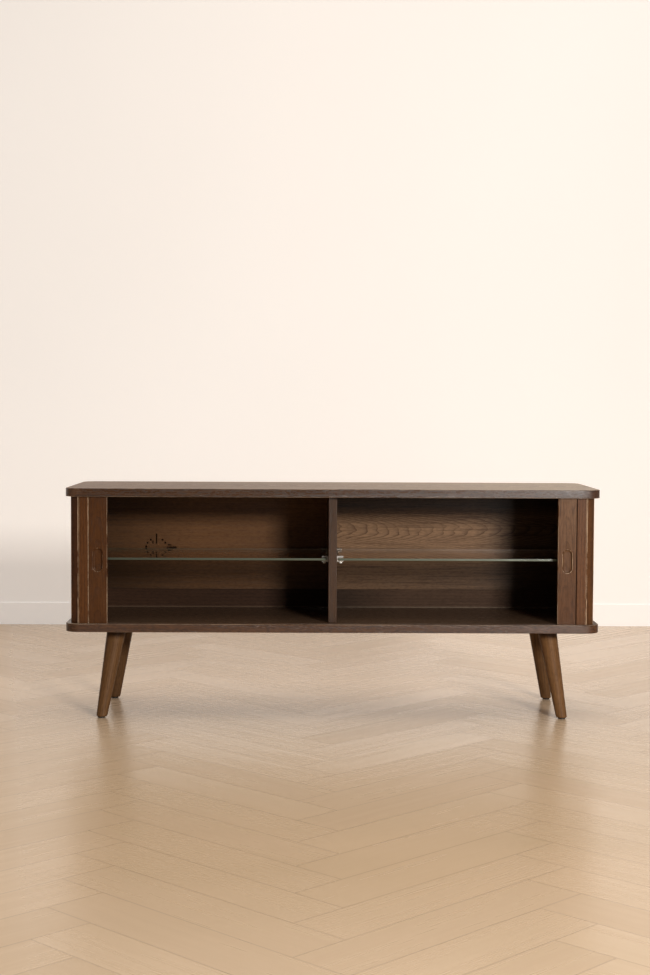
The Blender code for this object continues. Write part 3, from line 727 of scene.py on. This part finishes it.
# ------------------------------------------------------------------ doors
SLAT_T, SLAT_RUN, PITCH, STILE_T = 0.009, 0.005, 0.0256, 0.014
TRAVEL = 23 * PITCH
FACE_Y, FACE_X = -DEPTH / 2 + 0.013, WIDTH / 2 - 0.013
B, BD = 0.0016, 0.0018
T0, T1 = Z_FLOOR - SLAT_RUN, Z_CEIL + SLAT_RUN
LEAD_X = TRAVEL + 0.0005
X_SLAT = LEAD_X + 0.049
X_CORNER = X_SLAT + PITCH + 0.0006
Y_SIDE = FACE_Y + (FACE_X - X_CORNER)
X_TAIL = X_CORNER - FIT
PULL_X, PULL_W, PULL_H = 0.6144, 0.024, 0.060


def slat_face(valleys):
    """Plan points and arris weights (worn wood with its painted highlight) along a row of slats. valleys are the
    sunk joints; each slat is the chord between two of them raised by BD, with quarter-ellipse arrises of width B:
    out = BD sin(a), along = B (1 - cos(a))."""
    a = quarter(5)
    out, rub_and_light = [], []
    for p, q in zip(valleys[:-1], valleys[1:]):
        run = np.linalg.norm(q - p)
        t = (q - p) / run
        n = np.array([t[1], -t[0]])
        along = np.concatenate([B * (1 - np.cos(a)), run - B * (1 - np.cos(a[::-1]))])
        lift = np.concatenate([BD * np.sin(a), BD * np.sin(a[::-1])])
        edge = np.concatenate([np.sin(2 * a) ** 0.5, np.sin(2 * a[::-1]) ** 0.5])
        pts = p + along[:, None] * t + lift[:, None] * n
        out.append(pts if not out else pts[1:])
        rub_and_light.append(edge if not rub_and_light else edge[1:])
    return np.concatenate(out), np.concatenate(rub_and_light)


def row(name, valleys, inner, side, look, node, body, slot="tambour_wood", shaded_seam=False, **kwargs):
    """A row of slats: the face from slat_face, closed by the backing's plan line, carried from end to end.
    With the seam flag set, the first arris becomes painted shade in the joint, -min(1, 2 cos a)."""
    face, rub_and_light = slat_face(valleys)
    plan = mirrored(np.concatenate([face, inner[::-1]]), side)
    rub_and_light = np.concatenate([rub_and_light, np.zeros(len(inner))])
    # painted shade in the joint along the first arris
    if shaded_seam:
        rub_and_light[:6] = -np.minimum(1.0, 2.0 * np.cos(quarter(5)))
    return piece(name, prism(plan, (T0, T1), rub_and_light), look, body, slot, [node], **kwargs)


def upright(u_of, first, k0=0):
    """Grain for slats: along = height + 1.3 per slat, across = the way along the row within the slat + 0.11 per
    slat, so that every slat is a separate stick."""
    def grain(points, centres):
        u, uc = u_of(points), u_of(centres)
        k = np.floor((uc - first) / PITCH) + k0
        depth = points[:, 0] * 0.0
        return np.stack([points[:, 2] + 1.3 * k, u - first - k * PITCH + 0.11 * k, depth], -1)
    return grain


# each door's tone, and what the stile, the first slat and the other slats multiply it by: lit and shaded copies of one
# stain, with the slats round the corner darker as painted shade
TONES = {"left": ((0.072, 0.0275, 0.0090), 1.0, 1.28, (0.98, 0.85, 0.80)),
         "right": ((0.116, 0.046, 0.0160), 0.76, 1.0, 0.84)}
for word, s in SIDES:
    tone, stile_share, lead_share, slat_share = TONES[word]
    # the leading stile: quarter-round arrises in front, a finger pull, and tongues at both ends
    x0, x1 = LEAD_X, X_SLAT - FIT / 2
    a = quarter(5)
    left = np.stack([x0 + B * (1 - np.cos(a)), FACE_Y + BD * (1 - np.sin(a))], -1)[::-1]
    right = np.stack([x1 - B * (1 - np.cos(a)), FACE_Y + BD * (1 - np.sin(a))], -1)
    rub_and_light = np.sin(2 * a) ** 0.5
    # the arris at the joint with the first slat: bare, a painted highlight, on the left door, and painted shade in the
    # joint on the right door
    seam = rub_and_light if s < 0 else -np.minimum(1.0, 2.0 * np.cos(a))

    def ring(z, thick):
        back = FACE_Y + thick
        behind = np.array([[x0, back - 0.001], [x0 + 0.001, back], [x1 - 0.001, back], [x1, back - 0.001]])
        plan = np.concatenate([left, behind, right])
        arris_marks = np.concatenate([rub_and_light[::-1], np.zeros(4), seam])
        return np.column_stack([mirrored(plan, s), np.full(len(plan), z), arris_marks])

    rings = np.array([ring(T0, SLAT_T), ring(Z0 + 0.0002, SLAT_T), ring(Z0 + 0.0002, STILE_T),
                      ring(Z1 - 0.0002, STILE_T), ring(Z1 - 0.0002, SLAT_T), ring(T1, SLAT_T)])
    ang = np.concatenate([np.radians(np.linspace(0, 180, 25)), np.radians(np.linspace(180, 360, 25))])
    lift = np.repeat([1, -1], 25) * (PULL_H - PULL_W) / 2

    def obround(grow, deep, wear_and_light):
        """The finger pull's outline: two half circles of radius PULL_W / 2 + grow and their straight sides."""
        r = PULL_W / 2 + grow
        pts = np.stack([s * (PULL_X + r * np.cos(ang)), np.full(50, FACE_Y + deep), Z_MID + lift + r * np.sin(ang),
                        np.full(50, wear_and_light)], -1)
        return np.concatenate([pts, pts[:1]])

    # the pull's rim is bare, worn and painted as a highlight where it catches the light, a little more on the right
    # door
    bowl = [obround(0.0024 * (1 - math.sin(v)), 0.0020 * (1 - math.cos(v)), (0.91 + 0.01 * s) * math.sin(2 * v) ** 0.4)
            for v in quarter(5)]
    bowl += [obround(-0.0006 - 0.0026 * (1 - math.cos(v)), 0.0034 + 0.0026 * math.sin(v), 0.0) for v in quarter(5)]
    bowl = np.array(bowl)
    outer = np.concatenate([rings[[0, 2, 3, 5], 0], rings[[5, 3, 2, 0], -1]])
    skin = joined(grid(rings), flat(rings[0]), flat(rings[-1]), flat(outer, bowl[0, :-1]), grid(bowl),
                  flat(bowl[-1, :-1]))
    # on the right door the stile grows paler and greyer upwards: a painted sheen
    piece(f"{word}_stile", skin,
          wood(f"{word}_stile_oak", times(tone, stile_share), (0.35 * s, 0.0, 0.1), "zxy", wear_and_light=0.8, knots=0.6,
               crown=(0.614 * s, 0.10, 0.012, 0.060), contrast=1.1, rough=0.30, line=4.0, gloss=1.24,
               tints=[(0, 0.30, 0.58, (1.6, 1.9, 2.2))] if s > 0 else ()),
          f"{word}_door", "tambour_wood", [f"{word}_door_stile"])

    slat_look, lead_look = (
        wood(f"{word}_{part}_oak", times(tone, share), (0.1, 0.3, 0.0), None, ring=0.0075, wear_and_light=0.9, rough=0.30,
             gloss=1.22) for part, share in (("slat", slat_share), ("lead", lead_share)))
    # the first slat moves with the stile
    xa, xb = X_SLAT + FIT / 2, X_SLAT + PITCH - 0.0003
    valleys = np.array([[xa, FACE_Y + BD], [xb, FACE_Y + BD]])
    inner = np.array([[xa, FACE_Y + SLAT_T], [xb, FACE_Y + SLAT_T]])
    # on the right door the lead slat's arris beside the stile is painted shade in the joint
    row(f"{word}_lead_slat", valleys, inner, s, lead_look, f"{word}_door_slat", f"{word}_door",
        shaded_seam=s > 0, grain=upright(lambda p, s=s: p[:, 0] * s, X_SLAT, 40))

    # the slats that turn both corners and run along the side
    count = 13
    ys = np.linspace(Y_SIDE, -Y_SIDE, count + 1)
    side_v = np.stack([np.full(count + 1, FACE_X - BD), ys], -1)
    valleys = np.concatenate([[[X_CORNER, FACE_Y + BD]], side_v, [[X_CORNER, -FACE_Y - BD]]])
    behind = FACE_X - 0.0003 - (Y_SIDE - 0.0012) - (SLAT_T - 0.0004) * math.sqrt(2)
    inner_x = FACE_X - SLAT_T
    half = np.array([[X_CORNER, FACE_Y + SLAT_T - 0.0004], [X_CORNER, X_CORNER - behind],
                     [inner_x, inner_x - behind]])
    inner = np.concatenate([half, half[::-1] * [1, -1]])
    row(f"{word}_side_slats", valleys, inner, s, slat_look, f"{word}_tambour_side", "carcase",
        grain=upright(lambda p, s=s: p[:, 1] - 0.6 * (np.abs(p[:, 0]) - FACE_X) * np.sign(-p[:, 1]),
                      Y_SIDE - PITCH * 1.0, 3))

    # the run along the back
    xs = X_TAIL - np.arange(24) * PITCH
    valleys = np.stack([xs, np.full(24, -FACE_Y - BD)], -1)[::-1]
    inner = np.stack([xs[[0, -1]], np.full(2, -FACE_Y - SLAT_T)], -1)[::-1]
    tail = row(f"{word}_rear_slats", valleys[::-1], inner[::-1], s, slat_look, f"{word}_tambour_tail", "carcase",
               grain=upright(lambda p, s=s: -p[:, 0] * s, -X_TAIL, 20))
    s * X_TAIL
    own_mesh(tail)

    # the slats between the first one and the corner, folded into the joint beside the corner slat as they lie
    # with the door open
    g0, g1, lead = X_CORNER, X_CORNER - 0.0009, X_SLAT + PITCH - TRAVEL
    xs = np.linspace(lead - 0.0003, X_CORNER, 24)
    valleys = np.stack([xs, np.full(24, FACE_Y + BD)], -1)
    face, rub_and_light = slat_face(valleys)
    inner = np.stack([np.linspace(xs[0], xs[-1], 24), np.full(24, FACE_Y + SLAT_T)], -1)
    closed = np.concatenate([face, inner[::-1]])
    # the folded place of each closed point: t is found by halving, from closed x = x(t) - w(t) TRAVEL
    lo, hi = np.zeros(len(closed)), np.ones(len(closed))
    for _ in range(60):
        t = (lo + hi) / 2
        far = g0 + (g1 - g0) * t - t * t * (3 - 2 * t) * TRAVEL > closed[:, 0]
        lo, hi = np.where(far, t, lo), np.where(far, hi, t)
    t = (lo + hi) / 2
    rest = closed.copy()
    rest[:, 0] = g0 + (g1 - g0) * t
    rub_and_light = np.concatenate([rub_and_light, np.zeros(24)])

    def spread(points, centres, s=s):
        """Grain from the closed place: x = g0 + (g1 - g0) t - w(t) TRAVEL, w = t^2 (3 - 2t)."""
        def where(p):
            t = np.clip((p[:, 0] * s - g0) / (g1 - g0), 0, 1)
            return p[:, 0] * s - t * t * (3 - 2 * t) * TRAVEL
        u, uc = where(points), where(centres)
        k = np.floor((uc - lead) / PITCH)
        return np.stack([points[:, 2] + 1.3 * k, u - lead - k * PITCH + 0.11 * k, points[:, 0] * 0], -1)

    folded = piece(f"{word}_front_slats", prism(mirrored(rest, s), (T0, T1), rub_and_light), slat_look, None,
                   "tambour_wood", [], grain=spread)
    s * g0
    s * g1
    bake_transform(folded)


# ------------------------------------------------------------------ room, lamps and camera
def sheet(name, corners, look):
    mesh = bpy.data.meshes.new(name)
    mesh.from_pydata(corners, [], [tuple(range(len(corners)))])
    ob = bpy.data.objects.new(name, mesh)
    bpy.context.scene.collection.objects.link(ob)
    mesh.materials.append(look)
    return ob


WALL_Y, SKIRTING_H, SKIRTING_T, FAR, FLOOR_Z = 1.69, 0.082, 0.004, 9, -0.0002


def plaster():
    """Warm white paint that is seen from the room only, so that the piece can be looked at from behind. It glows
    as painted light, and the glow dims high up, more on the left, as painted shade.
    """
    look = Look("wall_paint")
    p = look.place("xyz")
    patch = look.noise(p, (0.6, 0.6, 0.6), 2.0)
    base = look.mix(look.ramp(patch, 0.3, 0.7), (0.80, 0.765, 0.735), (0.83, 0.795, 0.765))
    x, _, z = look.parts(p)
    # painted shade on the wall's glow: dimmer high up, more so on the left
    dusk = 0.93 - look.ramp(z, 0.8, 2.5, 0.0, 0.28) * look.ramp(x, -0.9, 0.9, 1.0, 0.5)
    glow = look.node("VectorMath", {"operation": "SCALE"}, {0: base, 3: dusk})
    paint = look.surface(Base_Color=base, Roughness=0.9, Emission_Color=glow, Emission_Strength=0.42)
    back = look.node("NewGeometry", {}, {}, 6)
    return look.done(look.node("MixShader", {}, {0: back, 1: paint, 2: look.node("BsdfTransparent")}))


def floor_look():
    """Pale oak herringbone: with x, y turned by 45 degrees and counted in plank widths, i = floor(x) and
    j = floor(y), the cell k = (i - j) mod 2n lies in a plank along x for k < n, and along y for k >= n.
    The floor is paler towards the wall as painted light, darkened far in front as painted shade, and matt far to the
    left."""
    look = Look("floor_herringbone")
    count, width, turn = 5.0, 0.115, math.sqrt(0.5)
    p = look.place("xyz")
    x, y, _ = look.parts(p)
    patch = look.noise(p, (1.2, 2.4, 1.0), 3.0)
    a, b = (x + y) * (turn / width), (y - x) * (turn / width)
    i, j = (look.maths("FLOOR", v) for v in (a, b))
    fa, fb = a - i, b - j
    k = look.maths("FLOORED_MODULO", i - j, 2 * count)
    other = look.maths("GREATER_THAN", k, count - 0.5)
    along = (k + fa) * (1.0 - other) + (2 * count - 1.0 - k + fb) * other
    across = fb * (1.0 - other) + fa * other
    first = look.node("CombineXYZ", {}, {0: i - k * (1.0 - other), 1: j - (2 * count - 1.0 - k) * other, 2: other})
    plank = look.node("TexWhiteNoise", {}, {"Vector": first})
    edge = look.maths("MINIMUM", look.maths("MINIMUM", across, 1.0 - across),
                      look.maths("MINIMUM", along, count - along))
    joint = look.step(edge, 0.022, 0.006)
    stick = look.node("CombineXYZ", {}, {0: along * width + plank * 9.0, 1: across * width, 2: plank * 3.0})
    grain = look.noise(stick, (2.5, 60.0, 1.0), 4.0, 0.6)
    base = look.mix(look.ramp(patch, 0.3, 0.7), (0.625, 0.450, 0.275), (0.69, 0.497, 0.315))
    # painted light: paler towards the wall
    base = look.mix(look.step(y, -1.8, 0.8), base, (0.76, 0.585, 0.42))
    base = look.mix(look.ramp(plank, 0.0, 1.0, 0.0, 0.26), base, (0.46, 0.31, 0.18))
    base = look.mix(look.ramp(grain, 0.35, 0.7, 0.0, 0.22), base, (0.48, 0.32, 0.18))
    base = look.mix(joint * 0.35, base, (0.25, 0.16, 0.09))
    # painted shade: dark far in front
    base = look.mix(look.step(y, -2.3, -3.6), base, (0.10, 0.07, 0.05))
    shine = look.ramp(grain, 0.3, 0.7, 0.24, 0.31) + look.ramp(plank, 0.0, 1.0, -0.03, 0.03)
    shine = shine + look.ramp(x + y * 0.19, -0.86, -1.10, 0.0, 0.5)
    return look.done(look.surface(Base_Color=base, Roughness=shine, IOR=1.62))


PAINT = plaster()
FRONT = WALL_Y - SKIRTING_T


def upright_sheet(name, y, z0, z1, look):
    return sheet(name, [(-FAR, y, z0), (FAR, y, z0), (FAR, y, z1), (-FAR, y, z1)], look)


def level_sheet(name, z, y0, y1, look):
    return sheet(name, [(-FAR, y0, z), (FAR, y0, z), (FAR, y1, z), (-FAR, y1, z)], look)


level_sheet("floor", FLOOR_Z, -FAR, WALL_Y, floor_look())
level_sheet("floor_behind", FLOOR_Z, WALL_Y, FAR, floor_look())
upright_sheet("wall", WALL_Y, SKIRTING_H, 6, PAINT)
upright_sheet("skirting_front", FRONT, 0, SKIRTING_H, PAINT)
level_sheet("skirting_top", SKIRTING_H, FRONT, WALL_Y, PAINT)


def lamp(name, place, aim, size, power, tone):
    data = bpy.data.lights.new(name, "AREA")
    data.shape, data.size, data.size_y, data.energy, data.color = "RECTANGLE", *size, power, tone
    ob = bpy.data.objects.new(name, data)
    ob.location = place
    ob.rotation_euler = (Vector(aim) - Vector(place)).to_track_quat("-Z", "Y").to_euler()
    bpy.context.scene.collection.objects.link(ob)
    return ob


lamp("key", (2.03, -4.82, 1.66), (0.0, 0.0, 0.40), (0.90, 0.55), 200.0, (1.0, 0.955, 0.90))
glow = lamp("glow", (1.95, -4.9, 0.85), (0.0, 0.0, 0.40), (0.90, 0.50), 58.0, (1.0, 0.97, 0.95))
glow.visible_diffuse = False
lamp("ceiling", (0.0, -0.6, 3.5), (0.0, -0.6, 0.0), (4.0, 3.0), 60.0, (1.0, 0.95, 0.89))
world = bpy.data.worlds.new("room")
world.use_nodes = True
world.node_tree.nodes["Background"].inputs[0].default_value = (1.0, 0.93, 0.86, 1.0)
world.node_tree.nodes["Background"].inputs[1].default_value = 0.09
bpy.context.scene.world = world

# the camera's right, up and forward, and its place
R, U, F = (0.9999634, -0.0073727, 0.0043408), (-0.0039658, 0.0501402, 0.9987343), (0.0075810, 0.9987150, -0.0501091)
camera = bpy.data.cameras.new("camera")
camera.lens, camera.sensor_width = 60.50, 36.0
eye = bpy.data.objects.new("camera", camera)
EYE = (-0.05357, -4.45511, 0.82804)
eye.matrix_world = Matrix([(R[k], U[k], -F[k], EYE[k]) for k in range(3)] + [(0, 0, 0, 1)])
bpy.context.scene.collection.objects.link(eye)
bpy.context.scene.camera = eye
bpy.context.scene.view_settings.view_transform = "Standard"

bpy.context.view_layer.update()
